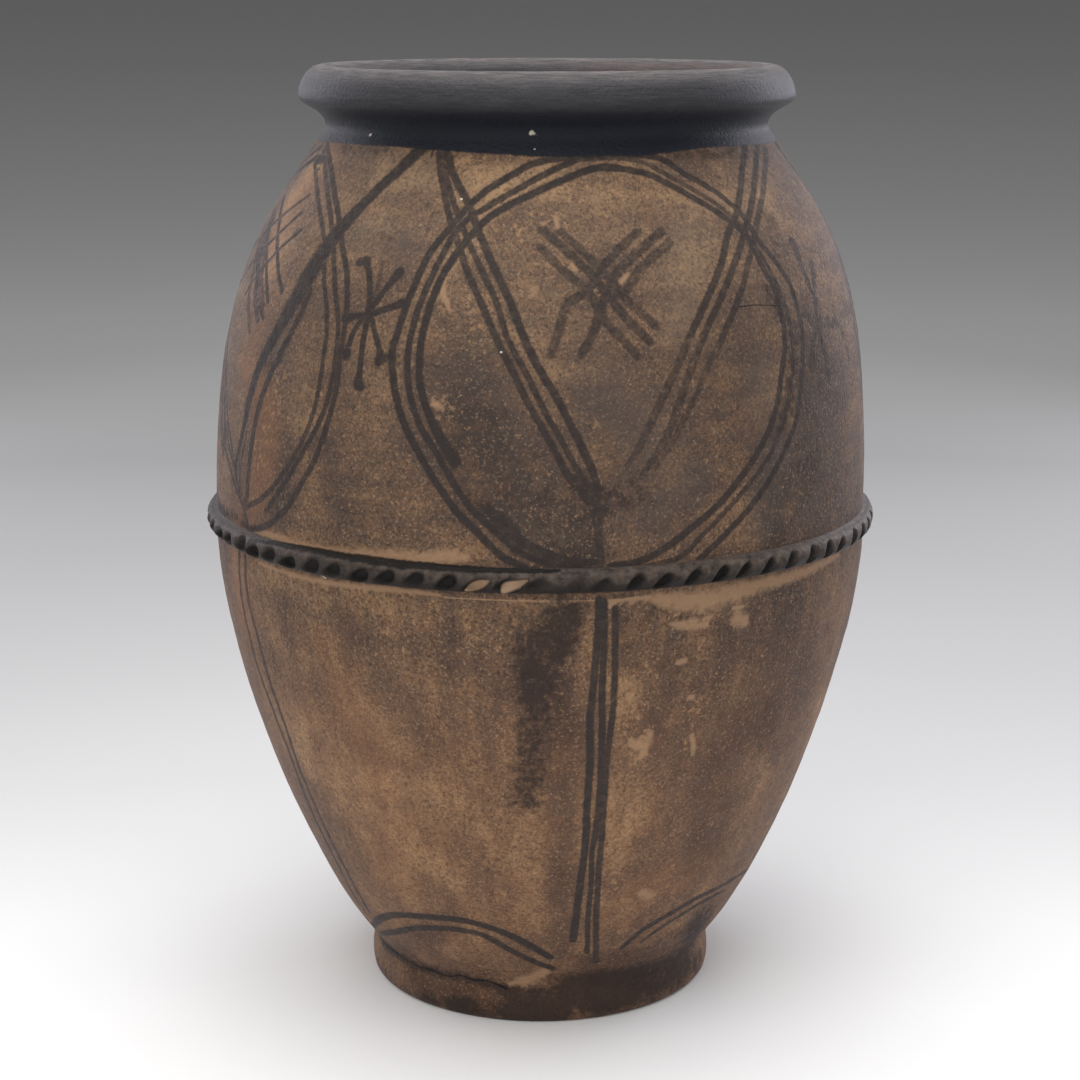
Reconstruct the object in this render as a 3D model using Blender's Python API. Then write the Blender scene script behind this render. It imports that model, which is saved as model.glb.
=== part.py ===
# Painted earthenware storage jar, coil-built and finished on a turntable.
# Metres, +Z up. The origin is the centre of the foot's underside, where the jar stands.
# One fired piece: foot, body, neck, rolled lip and a notched clay cordon luted round the belly.
import math

import bmesh
import bpy
from mathutils import Vector

# Heights above the surface that the jar stands on
jar_height = 0.700
belly_height = 0.357
flank_height = 0.053
waist_height = 0.024
foot_bulge_height = 0.013
cordon_level = 0.3683

# Radii, each foot and neck form as a step from the one that it grows out of
belly_radius = 0.2457
foot_radius = 0.133
foot_edge_step = 0.0044
waist_step = 0.0015
flank_step = 0.0150
neck_radius = 0.1632
lip_overhang = 0.0199
crest_step = 0.0035

# Lip, measured down from its crest
lip_height = 0.0444
lip_widest_drop = 0.0226
lip_roll_drop = 0.0180
lip_edge = 0.0055

# Clay thickness
wall = 0.0125
floor_thickness = 0.018

# Slopes from straight up, outward positive
flank_slope = math.radians(34.5)
shoulder_slope = math.radians(-33.0)
lip_underside_slope = math.radians(58.0)

# The neck and lip stand a little to one side of the foot
rim_lean = 0.0050

# Cordon: a strip of clay pressed on, gouged at a slant with a stick
cordon_width = 0.0160
cordon_proud = 0.0085
notch_pitch = 0.0215
notch_depth = 0.0042
notch_slant = 0.30
notch_half_width = 0.30
notch_top_share = 0.25
chip_depth = 0.0045
chip_half_angle = math.radians(1.9)
chip_azimuths = (math.radians(-10.2), math.radians(-4.9))

# Fineness of the faceted surface
turning_steps = 52
steps_per_notch = 4


def curve(start, start_slope, start_pull, end, end_slope, end_pull, steps):
    """Cubic through two profile points; slopes are from straight up, pulls are shares of the chord."""
    chord = (end - start).length
    leave = start + chord * start_pull * Vector((math.sin(start_slope), 0, math.cos(start_slope)))
    arrive = end - chord * end_pull * Vector((math.sin(end_slope), 0, math.cos(end_slope)))
    points = []
    for step in range(1, steps + 1):
        t = step / steps
        s = 1 - t
        points.append(s**3 * start + 3 * s * s * t * leave + 3 * s * t * t * arrive + t**3 * end)
    return points


def at(radius, height):
    return Vector((radius, 0, height))


def foot_profile():
    edge = at(foot_radius - foot_edge_step, 0)
    bulge = at(foot_radius, foot_bulge_height)
    waist = at(foot_radius - waist_step, waist_height)
    points = [edge]
    points += curve(edge, math.radians(60), 0.35, bulge, 0, 0.45, 3)
    points += curve(bulge, 0, 0.35, waist, math.radians(-20), 0.2, 2)
    return points


def body_profile():
    """Outer skin from just above the waist to the throat, in the order that it was built up."""
    waist = at(foot_radius - waist_step, waist_height)
    flank = at(foot_radius - waist_step + flank_step, flank_height)
    belly = at(belly_radius, belly_height)
    throat = at(neck_radius, jar_height - lip_height)
    points = curve(waist, math.radians(6), 0.4, flank, flank_slope, 0.4, 2)
    points += curve(flank, flank_slope, 0.236, belly, 0, 0.262, 7)
    points += curve(belly, 0, 0.655, throat, shoulder_slope, 0.285, 8)
    return points


def lip_profile():
    """Cove under the lip, its rolled outer side and crest, and the roll down into the mouth."""
    throat = at(neck_radius, jar_height - lip_height)
    lip_radius = neck_radius + lip_overhang
    under = at(lip_radius - lip_edge, jar_height - lip_widest_drop - lip_edge)
    widest = at(lip_radius, jar_height - lip_widest_drop)
    crest = at(neck_radius + crest_step, jar_height)
    mouth = at(neck_radius - wall, jar_height - lip_roll_drop)
    points = curve(throat, 0, 0.45, under, lip_underside_slope, 0.35, 3)
    points += curve(under, lip_underside_slope, 0.35, widest, 0, 0.35, 2)
    points += curve(widest, 0, 0.42, crest, math.radians(-90), 0.30, 4)
    points += curve(crest, math.radians(-90), 0.40, mouth, math.radians(180), 0.40, 3)
    return points


def inner_wall(outer):
    """Every second body point, moved in by the wall thickness square to the skin, top to bottom."""
    points = []
    for below, here, above in list(zip(outer, outer[1:], outer[2:]))[::-2]:
        along = (above - below).normalized()
        points.append(here + wall * Vector((-along.z, 0, along.x)))
    return [point for point in points if point.z > floor_thickness + wall]


def floor_profile(last_wall_point):
    flat_radius = foot_radius - waist_step - 2 * wall
    flat_edge = at(flat_radius, floor_thickness)
    slope = math.pi + flank_slope
    return curve(last_wall_point, slope, 0.35, flat_edge, math.radians(-90), 0.4, 2)


def jar_profile():
    """The whole section, from the underside's centre up the outside and down the inside to the floor."""
    outer = body_profile()
    throat_inside = at(neck_radius - wall, jar_height - lip_height)
    inside = [throat_inside] + inner_wall(outer)
    points = [at(0, 0)] + foot_profile() + outer + lip_profile() + inside
    points += floor_profile(points[-1])
    points.append(at(0, floor_thickness))
    return points


def wall_radius_at(height):
    """Outer radius of the body at a height, read from its own profile."""
    outer = body_profile()
    for below, above in zip(outer, outer[1:]):
        if below.z <= height <= above.z:
            share = (height - below.z) / (above.z - below.z)
            return below.x + share * (above.x - below.x)
    return belly_radius


def spin_section(points, steps, closed):
    """Turn a section about the jar's axis into a closed mesh with its faces pointing out."""
    shape = bmesh.new()
    verts = [shape.verts.new(point) for point in points]
    edges = [shape.edges.new(pair) for pair in zip(verts, verts[1:])]
    if closed:
        edges.append(shape.edges.new((verts[-1], verts[0])))
    bmesh.ops.spin(
        shape, geom=verts + edges, cent=(0, 0, 0), axis=(0, 0, 1),
        angle=math.tau, steps=steps, use_merge=True)
    bmesh.ops.remove_doubles(shape, verts=shape.verts, dist=0.00001)
    bmesh.ops.recalc_face_normals(shape, faces=shape.faces)
    return shape


def lean_the_neck(shape):
    """Ease everything above the cordon sideways, most at the throat and lip."""
    throat = jar_height - lip_height
    for vert in shape.verts:
        rise = min(max((vert.co.z - cordon_level) / (throat - cordon_level), 0), 1)
        vert.co.x += rim_lean * rise * rise * (3 - 2 * rise)


def notch_cut(azimuth, level, notch_count):
    """How deep the gouges go at a place on the cordon; level runs from -1 at its foot to 1 at its top."""
    turn = azimuth / math.tau * notch_count - notch_slant * level
    off_centre = abs(turn - round(turn))
    bite = max(0, 1 - off_centre / notch_half_width)
    fade = 1 - (1 - notch_top_share) * max(0, level)
    return notch_depth * bite * fade


def chip_cut(azimuth):
    """Extra depth where two lobes at the front have broken away."""
    front = azimuth + math.pi / 2
    for chip in chip_azimuths:
        apart = abs(math.remainder(front - chip, math.tau))
        if apart < chip_half_angle:
            return chip_depth
    return 0


def gouge_the_cordon(shape, crown_radius):
    """Press the slanting notches and the two chips into the strip's outer side."""
    notch_count = round(math.tau * crown_radius / notch_pitch)
    root_radius = crown_radius - cordon_proud
    for vert in shape.verts:
        radius = math.hypot(vert.co.x, vert.co.y)
        if radius < root_radius - wall * 0.2:
            continue
        azimuth = math.atan2(vert.co.y, vert.co.x)
        level = (vert.co.z - cordon_level) / (cordon_width / 2)
        cut = notch_cut(azimuth, level, notch_count) + chip_cut(azimuth)
        vert.co.xy *= (radius - cut) / radius


def cordon_shape():
    """The strip as a ring whose back lies inside the wall, so that the two join into one solid."""
    root_radius = wall_radius_at(cordon_level)
    crown_radius = root_radius + cordon_proud
    section = []
    for degrees in (-90, -45, 0, 45, 90):
        turn = math.radians(degrees)
        out = root_radius + cordon_proud * math.cos(turn)
        section.append(at(out, cordon_level + cordon_width / 2 * math.sin(turn)))
    section.append(at(root_radius - wall * 0.4, cordon_level))
    notch_count = round(math.tau * crown_radius / notch_pitch)
    shape = spin_section(section, notch_count * steps_per_notch, closed=True)
    gouge_the_cordon(shape, crown_radius)
    return shape


def new_object(name, shape):
    mesh = bpy.data.meshes.new(name)
    shape.to_mesh(mesh)
    shape.free()
    thing = bpy.data.objects.new(name, mesh)
    bpy.context.collection.objects.link(thing)
    return thing


def earthenware():
    """Low-fired clay, burnished with an oily stone: brown, with a dull sheen."""
    material = bpy.data.materials.new("burnished earthenware")
    material.use_nodes = True
    shader = material.node_tree.nodes["Principled BSDF"]
    shader.inputs["Base Color"].default_value = (0.115, 0.066, 0.040, 1)
    shader.inputs["Roughness"].default_value = 0.62
    shader.inputs["Metallic"].default_value = 0
    return material


for old in list(bpy.data.objects):
    bpy.data.objects.remove(old)

body_shape = spin_section(jar_profile(), turning_steps, closed=False)
lean_the_neck(body_shape)
jar = new_object("jar", body_shape)
jar.data.materials.append(earthenware())

cordon = new_object("cordon strip", cordon_shape())
cordon.hide_render = True
cordon.display_type = "WIRE"

luting = jar.modifiers.new("luting", "BOOLEAN")
luting.operation = "UNION"
luting.solver = "EXACT"
luting.object = cordon

jar.data.shade_smooth()
jar.data.set_sharp_from_angle(angle=math.radians(40))
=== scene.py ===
import math
from functools import partial

import bmesh
import bpy
import numpy as np
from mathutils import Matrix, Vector, noise


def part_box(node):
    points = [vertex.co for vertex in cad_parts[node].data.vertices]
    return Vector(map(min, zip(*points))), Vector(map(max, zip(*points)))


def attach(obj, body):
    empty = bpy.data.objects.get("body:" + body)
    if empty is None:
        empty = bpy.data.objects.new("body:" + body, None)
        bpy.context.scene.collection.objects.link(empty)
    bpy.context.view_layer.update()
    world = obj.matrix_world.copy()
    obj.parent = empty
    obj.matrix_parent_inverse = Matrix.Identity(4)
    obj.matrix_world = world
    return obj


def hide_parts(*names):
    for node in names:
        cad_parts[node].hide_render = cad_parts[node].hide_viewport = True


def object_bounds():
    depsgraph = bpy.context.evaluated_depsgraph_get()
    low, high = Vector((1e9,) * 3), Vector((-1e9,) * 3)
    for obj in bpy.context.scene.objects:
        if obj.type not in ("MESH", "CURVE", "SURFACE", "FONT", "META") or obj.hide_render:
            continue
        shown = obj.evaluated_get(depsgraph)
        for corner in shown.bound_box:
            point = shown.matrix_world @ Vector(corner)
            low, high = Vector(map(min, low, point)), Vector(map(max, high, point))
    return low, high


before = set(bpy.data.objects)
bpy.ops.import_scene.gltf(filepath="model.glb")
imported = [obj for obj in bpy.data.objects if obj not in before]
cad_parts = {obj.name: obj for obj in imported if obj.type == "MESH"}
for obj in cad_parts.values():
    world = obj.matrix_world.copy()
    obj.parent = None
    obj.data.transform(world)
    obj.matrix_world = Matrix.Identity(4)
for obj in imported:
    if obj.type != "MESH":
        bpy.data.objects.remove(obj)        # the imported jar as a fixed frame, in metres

cadLow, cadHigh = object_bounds()
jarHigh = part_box("jar")[1]
jarHeight = jarHigh.z
print("frame loaded: the jar is", round(jarHeight, 3), "m tall")


# Small helpers

def hexColour(code):
    # sRGB hex to the linear colour that a shader wants
    channels = [int(code[i:i + 2], 16) / 255 for i in (1, 3, 5)]
    linear = [c / 12.92 if c <= 0.04045 else ((c + 0.055) / 1.055) ** 2.4 for c in channels]
    return (*linear, 1.0)


def newMaterial(name):
    material = bpy.data.materials.new(name)
    material.use_nodes = True
    return material, material.node_tree, material.node_tree.nodes["Principled BSDF"]


def addNode(tree, kind, settings=None, **links):
    # one node: settings are its properties or sockets, links are sockets fed by another node's output
    node = tree.nodes.new("ShaderNode" + kind)
    for name, value in (settings or {}).items():
        if isinstance(name, int) or name in node.inputs:
            node.inputs[name].default_value = value
        else:
            setattr(node, name, value)
    for name, source in links.items():
        key = int(name[1:]) if name[1:].isdigit() else name.replace("_", " ")
        socket = source.outputs[0] if isinstance(source, bpy.types.Node) else source
        tree.links.new(socket, node.inputs[key])
    return node


def fillRamp(ramp, stops):
    elements = ramp.color_ramp.elements
    while len(elements) < len(stops):
        elements.new(0.5)
    for element, (position, code) in zip(elements, stops):
        element.position = position
        element.color = hexColour(code)


def linkObject(name, data):
    thing = bpy.data.objects.new(name, data)
    bpy.context.collection.objects.link(thing)
    return thing


def readVectors(mesh, name):
    # a property of every vertex, as rows of three numbers
    values = np.empty(len(mesh.vertices) * 3)
    mesh.vertices.foreach_get(name, values)
    return values.reshape(-1, 3)


def moveVertices(mesh, places):
    mesh.vertices.foreach_set("co", places.ravel())
    mesh.update()


def smoothStep(low, high, value):
    share = np.clip((value - low) / (high - low), 0, 1)
    return share * share * (3 - 2 * share)


# Camera: a short telephoto a little above the rim, looking down at the jar

shot = {
    "away": 1.79,         # metres in front of the jar's axis
    "height": 0.752,
    "downTilt": 12.95,    # degrees below level
    "lens": 79.53,        # mm
    "sensor": 36,         # mm wide
    "photoSide": 1080,    # pixels, the photograph is square
}


def makeCamera():
    data = bpy.data.cameras.new("camera")
    data.lens = shot["lens"]
    data.sensor_width = shot["sensor"]
    camera = linkObject("camera", data)
    camera.location = (0, -shot["away"], shot["height"])
    camera.rotation_euler = (math.radians(90 - shot["downTilt"]), 0, 0)
    bpy.context.scene.camera = camera


makeCamera()


# Jar: one skin, turned from its section, then worked by hand

jarForm = {
    "footRadius": 0.133,
    "footEdgeStep": 0.0044,
    "footBulgeHeight": 0.013,
    "waistHeight": 0.024,
    "waistStep": 0.0015,
    "flankHeight": 0.053,
    "flankStep": 0.0150,
    "flankSlope": 34.5,        # degrees from straight up
    "bellyHeight": 0.357,
    "bellyRadius": 0.2457,
    "shoulderSlope": -33.0,
    "neckRadius": 0.1632,
    "lipHeight": 0.0444,
    "lipOverhang": 0.0199,
    "lipWidestDrop": 0.0226,
    "lipRollDrop": 0.0180,
    "lipEdge": 0.0055,
    "lipUnderSlope": 58.0,
    "crestStep": 0.0035,
    "wall": 0.0125,
    "floorThickness": 0.018,
    "lean": 0.0050,            # the neck stands a little to one side
    "columns": 296,
    "rowGap": 0.0042,
    "footRowGap": 0.0022,
    "lipRowGap": 0.0036,
    "insideRowGap": 0.024,
    "curveSteps": 60,          # close points along each curve of the section
}

handWork = {                   # left by coiling, scraping and wiping: depth and size in metres
    "sag": (0.0009, 0.16),
    "dents": (0.0004, 0.045),
    "ridges": (0.00022, 0.009),
    "ridgeRun": (0.25, 0.25, 1.0),
}

cordon = {
    "level": 0.3683,
    "width": 0.0160,
    "slack": 0.0004,           # its crown stays this far inside the solid's
    "wander": 0.0007,          # metres up and down, pressed on by hand
    "lumps": 0.22,             # share of its height
    "squareness": 2.4,         # 2 for a round back, more for a flatter one
    "rowGap": 0.0012,
    "reach": 0.0118,           # half the height of the band of fine rows
    "columnCuts": 3,
}

gouges = {
    "count": 74,
    "tilt": 28,                # degrees
    "tiltSwing": 15,           # steeper at the right, flatter at the left
    "halfLength": 9.2,         # mm
    "halfWidth": 4.5,
    "rise": 1.4,               # mm that they sit under the strip's middle
    "depth": 0.0036,
    "depthSpread": 0.0022,
    "darkAt": 0.0035,          # from this depth on, the painted shade in them is darkest
    "faintAt": 6,              # degrees to the right of the front, where the strip is worn
    "faintSpan": 7,
    "faint": 0.7,
}

cordonReach = jarHigh.x - cordon["slack"]


def at(radius, height):
    return Vector((radius, 0, height))


def bend(start, startSlope, startPull, end, endSlope, endPull):
    # cubic through two points of the section, slopes from straight up, pulls as shares of the chord
    chord = (end - start).length
    a, b = math.radians(startSlope), math.radians(endSlope)
    leave = start + chord * startPull * Vector((math.sin(a), 0, math.cos(a)))
    arrive = end - chord * endPull * Vector((math.sin(b), 0, math.cos(b)))
    points = []
    for step in range(jarForm["curveSteps"] + 1):
        t = step / jarForm["curveSteps"]
        s = 1 - t
        points.append(s**3 * start + 3 * s * s * t * leave + 3 * s * t * t * arrive + t**3 * end)
    return points


def evenRows(points, gap):
    # the same line with its points a gap apart, without its first point
    spots = np.array([tuple(p) for p in points])
    run = np.concatenate([[0], np.cumsum(np.linalg.norm(np.diff(spots, axis=0), axis=1))])
    count = max(2, round(run[-1] / gap))
    stations = np.linspace(0, run[-1], count + 1)[1:]
    return [at(np.interp(s, run, spots[:, 0]), np.interp(s, run, spots[:, 2])) for s in stations]


def sectionPieces(form):
    # the section in three stretches, each a list of close points: foot, body, then neck and lip
    waistRadius = form["footRadius"] - form["waistStep"]
    edge = at(form["footRadius"] - form["footEdgeStep"], 0)
    bulge = at(form["footRadius"], form["footBulgeHeight"])
    waist = at(waistRadius, form["waistHeight"])
    flank = at(waistRadius + form["flankStep"], form["flankHeight"])
    belly = at(form["bellyRadius"], form["bellyHeight"])
    throat = at(form["neckRadius"], jarHeight - form["lipHeight"])
    lipRadius = form["neckRadius"] + form["lipOverhang"]
    widest = at(lipRadius, jarHeight - form["lipWidestDrop"])
    under = at(lipRadius - form["lipEdge"], widest.z - form["lipEdge"])
    crest = at(form["neckRadius"] + form["crestStep"], jarHeight)
    mouth = at(form["neckRadius"] - form["wall"], jarHeight - form["lipRollDrop"])
    foot = bend(edge, 60, 0.35, bulge, 0, 0.45) + bend(bulge, 0, 0.35, waist, -20, 0.2)[1:]
    body = bend(waist, 6, 0.4, flank, form["flankSlope"], 0.4)
    body += bend(flank, form["flankSlope"], 0.236, belly, 0, 0.262)[1:]
    body += bend(belly, 0, 0.655, throat, form["shoulderSlope"], 0.285)[1:]
    lip = bend(throat, 0, 0.45, under, form["lipUnderSlope"], 0.35)
    lip += bend(under, form["lipUnderSlope"], 0.35, widest, 0, 0.35)[1:]
    lip += bend(widest, 0, 0.42, crest, -90, 0.30)[1:]
    lip += bend(crest, -90, 0.40, mouth, 180, 0.40)[1:]
    return foot, body, lip


footLine, bodyLine, lipLine = sectionPieces(jarForm)
bodyHeights = np.array([p.z for p in bodyLine])
bodyRadii = np.array([p.x for p in bodyLine])
crestIndex = max(range(len(lipLine)), key=lambda i: lipLine[i].z)
outerHeights = np.concatenate([bodyHeights, [p.z for p in lipLine[1:crestIndex + 1]]])
outerRadii = np.concatenate([bodyRadii, [p.x for p in lipLine[1:crestIndex + 1]]])


def wallRadius(height):
    return np.interp(height, bodyHeights, bodyRadii)


def midWall(height):
    # between the outer and the inner skin, to tell the two apart
    return wallRadius(height) - jarForm["wall"] / 2


def outerRadius(height):
    # the wall and, above it, the outer side of the lip
    return np.interp(height, outerHeights, outerRadii)


def leanAt(height):
    # how far the axis has moved sideways at a height
    throat = jarHeight - jarForm["lipHeight"]
    return jarForm["lean"] * smoothStep(cordon["level"], throat, height)


def innerLine(form):
    # the body line moved in by the wall, from the throat down to the floor
    points = [at(form["neckRadius"] - form["wall"], jarHeight - form["lipHeight"])]
    lowest, highest = form["floorThickness"] + form["wall"], points[0].z - 0.004
    for below, here, above in list(zip(bodyLine, bodyLine[1:], bodyLine[2:]))[::-1]:
        along = (above - below).normalized()
        spot = here + form["wall"] * Vector((-along.z, 0, along.x))
        if lowest < spot.z < highest:
            points.append(spot)
    flatRadius = form["footRadius"] - form["waistStep"] - 2 * form["wall"]
    floorEdge = at(flatRadius, form["floorThickness"])
    return points + bend(points[-1], 180 + form["flankSlope"], 0.35, floorEdge, -90, 0.4)[1:]


def wholeSection(form):
    # rows from the centre of the underside, up the outside, over the lip and down to the floor's centre
    body = evenRows(bodyLine, form["rowGap"])
    low, high = cordon["level"] - cordon["reach"], cordon["level"] + cordon["reach"]
    fine = np.linspace(low, high, round((high - low) / cordon["rowGap"]) + 1)
    clear = 0.001              # between the fine rows and the next ones
    below = [p for p in body if p.z < low - clear]
    above = [p for p in body if p.z > high + clear]
    rows = [at(0, 0), at(form["footRadius"] * 0.9, 0), footLine[0]]
    rows += evenRows(footLine, form["footRowGap"])
    rows += below + [at(wallRadius(z), z) for z in fine] + above
    rows += evenRows(lipLine, form["lipRowGap"]) + evenRows(innerLine(form), form["insideRowGap"])
    return rows + [at(0, form["floorThickness"])]


def turnSection(rows, columns):
    shape = bmesh.new()
    verts = [shape.verts.new(p) for p in rows]
    edges = [shape.edges.new(pair) for pair in zip(verts, verts[1:])]
    bmesh.ops.spin(
        shape, geom=verts + edges, cent=(0, 0, 0), axis=(0, 0, 1),
        angle=math.tau, steps=columns, use_merge=True)
    bmesh.ops.remove_doubles(shape, verts=shape.verts, dist=0.00001)
    # finer columns where the cordon sits
    halfBand = cordon["reach"] + 0.0002
    band = []
    for edge in shape.edges:
        a, b = edge.verts[0].co, edge.verts[1].co
        level = abs(a.z - b.z) < 1e-6
        if level and abs(a.z - cordon["level"]) < halfBand and a.xy.length > midWall(jarForm["bellyHeight"]):
            band.append(edge)
    bmesh.ops.subdivide_edges(shape, edges=band, cuts=cordon["columnCuts"], use_grid_fill=True)
    bmesh.ops.recalc_face_normals(shape, faces=shape.faces)
    return shape


def noiseAt(spots, size, seed):
    # smooth noise in -1..1 with features about a size across, at each spot
    shift = Vector((seed * 17.3, seed * 5.9, seed * 9.1))
    return np.array([noise.noise(Vector(s) / size + shift) for s in spots])


def handSpread(index, pace, stretch):
    # an uneven but repeatable number from 0 to 1 for each gouge
    return np.sin(index % gouges["count"] * pace) * stretch % 1.0


def cordonRise(azimuth, height, spots):
    # how far the pressed-on strip stands out, and how deep its gouges go
    level = cordon["level"] + cordon["wander"] * noiseAt(spots, 0.05, 6)
    v = (height - level) / (cordon["width"] / 2)
    proud = cordonReach - wallRadius(cordon["level"])
    crown = proud * (1 - cordon["lumps"] * np.abs(noiseAt(spots, 0.017, 7)))
    body = np.clip(1 - np.abs(v) ** cordon["squareness"], 0, 1) ** 0.5
    pitch = math.tau / gouges["count"]
    fromFaint = (azimuth - math.radians(gouges["faintAt"])) / math.radians(gouges["faintSpan"])
    toTheRight = np.sin(azimuth)
    cut = np.zeros_like(body)
    for shift in (-1, 0, 1):
        index = np.round(azimuth / pitch) + shift
        first = handSpread(index, 12.9898, 43758.5453)
        second = handSpread(index, 78.233, 12345.678)
        along = ((azimuth - index * pitch) * cordonReach - 0.005 * (first - 0.5)) * 1000
        up = (height - level) * 1000 + gouges["rise"] + 2.0 * (second - 0.5)
        tilt = math.radians(gouges["tilt"]) + math.radians(gouges["tiltSwing"]) * toTheRight
        tilt = tilt + 0.3 * (first - 0.5)
        lengthwise = along * np.cos(tilt) + up * np.sin(tilt)
        across = -along * np.sin(tilt) + up * np.cos(tilt)
        halfWidth = gouges["halfWidth"] - 0.9 * toTheRight + 1.2 * (first - 0.5)
        halfWidth = halfWidth * (1 + 0.045 * np.clip(lengthwise, -9, 9))      # fuller at its upper end
        halfLength = gouges["halfLength"] - 0.8 * toTheRight + 1.6 * (second - 0.5)
        scoop = np.sqrt((lengthwise / halfLength) ** 2 + (across / halfWidth) ** 2)
        depth = gouges["depth"] + gouges["depthSpread"] * second
        cut = np.maximum(cut, depth * (1 - smoothStep(0.45, 1.1, scoop)))
    cut = cut * (1 - gouges["faint"] * np.exp(-fromFaint**2))
    return np.maximum(crown * body - cut * np.clip(body * 1.4, 0, 1), 0), cut


def shapeJar():
    shape = turnSection(wholeSection(jarForm), jarForm["columns"])
    mesh = bpy.data.meshes.new("jar skin")
    shape.to_mesh(mesh)
    shape.free()
    co = readVectors(mesh, "co")
    spots = co.copy()
    height = co[:, 2].copy()
    radius = np.hypot(co[:, 0], co[:, 1])
    azimuth = np.arctan2(co[:, 0], -co[:, 1])      # 0 at the front, positive to the right
    throat = jarHeight - jarForm["lipHeight"]
    onBody = (height > jarForm["waistHeight"]) & (height < throat) & (radius > midWall(height))
    # the wall, from its own section, so that the added columns lie on the curve too
    newRadius = np.where(onBody, wallRadius(height), radius)
    # uneven from the hands, but the underside stays flat
    uneven = handWork["sag"][0] * noiseAt(spots, handWork["sag"][1], 1)
    uneven += handWork["dents"][0] * noiseAt(spots, handWork["dents"][1], 2)
    drawnOut = spots * np.array(handWork["ridgeRun"])
    uneven += handWork["ridges"][0] * noiseAt(drawnOut, handWork["ridges"][1], 3)
    byHand = (height > 0.004) & (radius > 0.02)
    newRadius = newRadius + np.where(byHand, uneven, 0)
    rise, cut = cordonRise(azimuth, height, spots)
    newRadius = newRadius + np.where(onBody, rise, 0)
    inBand = onBody & (np.abs(height - cordon["level"]) < cordon["width"] / 2)
    newRadius = np.where(inBand, np.minimum(newRadius, cordonReach), newRadius)
    scale = np.where(radius > 1e-6, newRadius / np.maximum(radius, 1e-6), 1)
    co[:, 0] = co[:, 0] * scale + leanAt(height)
    co[:, 1] *= scale
    moveVertices(mesh, co)
    # painted shade in the gouges, darkest where they are deepest
    pit = np.where(inBand, np.clip(cut / gouges["darkAt"], 0, 1), 0)
    print("jar skin:", len(mesh.polygons), "faces")
    return mesh, azimuth, height, onBody, pit


jarMesh, jarAzimuth, jarHeights, jarOutside, jarPitShade = shapeJar()
jar = linkObject("painted_jar", jarMesh)


# Painting: brush lines read off the photograph, and carried round to the sides that it doesn't show

# one line: layer, width in mm, ink from 0 to 1, then pixels across and down, with a width where it changes
brushLines = {}
brushLines["front left"] = {
    "ring outer": ("A", 6.9, 0.95, [
        (547, 160), (530, 165), (517, 172), (490, 188), (470, 205), (455, 222), (432, 250), (420, 273),
        (408, 302), (397, 335), (392, 352), (393, 372), (397, 400), (407, 430), (423, 460), (440, 488),
        (460, 515), (480, 535), (500, 555), (525, 568)]),
    "ring middle": ("B", 6.3, 0.92, [
        (580, 158), (547, 173), (513, 192), (487, 207), (460, 226), (440, 260), (427, 288), (415, 320),
        (408, 355), (410, 392), (420, 425), (437, 453), (455, 485), (473, 510), (500, 535), (520, 552),
        (560, 567), (600, 571)]),
    "ring inner": ("C", 7.2, 0.97, [
        (618, 168), (597, 168), (580, 173), (563, 180), (530, 195), (497, 212), (473, 233), (447, 268),
        (430, 307), (421, 345), (420, 380), (427, 408), (438, 433, 9), (455, 461, 11.7)]),
    "ring inner foot": ("C", 9.0, 0.85, [
        (486, 509, 5.5), (497, 517, 12.4), (512, 532, 13.8), (526, 544, 8.3), (550, 556), (572, 562),
        (597, 562, 5.5)]),
    "left arm, left": ("D", 6.3, 0.88, [
        (439, 140), (440, 165), (446, 200), (450, 220), (457, 240), (468, 273), (483, 307), (497, 340),
        (512, 370), (525, 397), (540, 425), (557, 455), (571, 481), (588, 500)]),
    "left arm, middle": ("E", 5.5, 0.85, [
        (443, 150), (449, 185), (458, 215), (470, 245), (483, 273), (497, 303), (507, 337), (527, 375),
        (543, 408), (560, 438), (575, 466), (592, 494)]),
    "left arm, right": ("F", 7.2, 0.92, [
        (446, 142), (453, 173), (468, 203), (480, 235), (493, 265), (508, 297), (523, 335), (538, 367),
        (557, 398), (572, 428), (588, 460), (597, 485)]),
    "lattice down 1": ("A", 7.6, 0.7, [
        (540, 247), (567, 274), (588, 292), (607, 323), (624, 341), (637, 355)]),
    "lattice down 2": ("B", 8.0, 0.75, [
        (543, 230), (580, 263), (600, 285), (622, 313), (635, 327), (650, 342)]),
    "lattice down 3": ("C", 7.6, 0.68, [
        (562, 233), (588, 257), (610, 280), (625, 298), (638, 310), (655, 326)]),
}
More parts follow.
